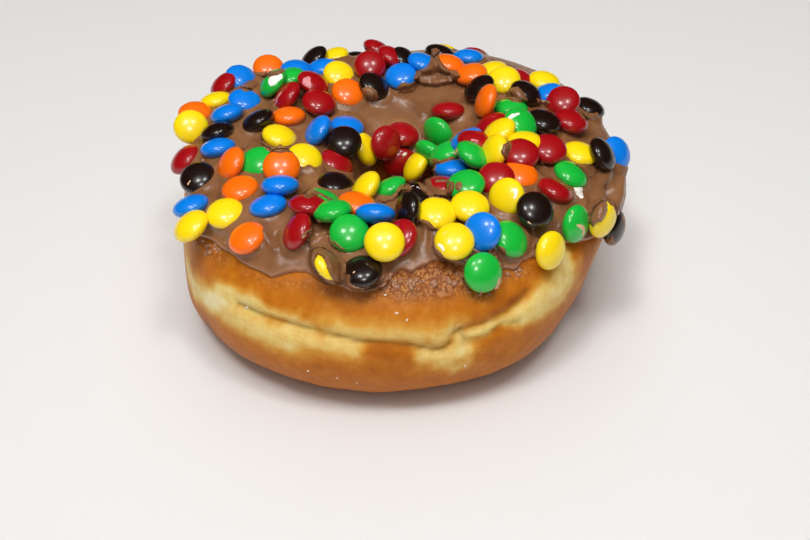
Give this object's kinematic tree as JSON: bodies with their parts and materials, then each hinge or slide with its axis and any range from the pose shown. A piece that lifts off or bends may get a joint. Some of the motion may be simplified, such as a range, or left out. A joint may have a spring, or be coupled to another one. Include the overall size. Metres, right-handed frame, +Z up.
{
  "type": "chocolate frosted candy doughnut",
  "caption": "Raised ring doughnut with a side crease, a thick chocolate frosting cap and small flat round sugar-shelled candies pressed all over the top.",
  "frame": {"origin": "middle of the doughnut's box, on the surface that it rests on", "axes": "+Z up through the hole, -Y towards the side with the open crease, which the picture shows in front"},
  "size_m": [0.1158, 0.1174, 0.0494],
  "materials": {
    "fried_dough": "satin fried crust",
    "chocolate_frosting": "soft gloss"
  },
  "bodies": {
    "root": {"dough_ring": "fried_dough", "candied_frosting": "chocolate_frosting"}
  },
  "joints": []
}
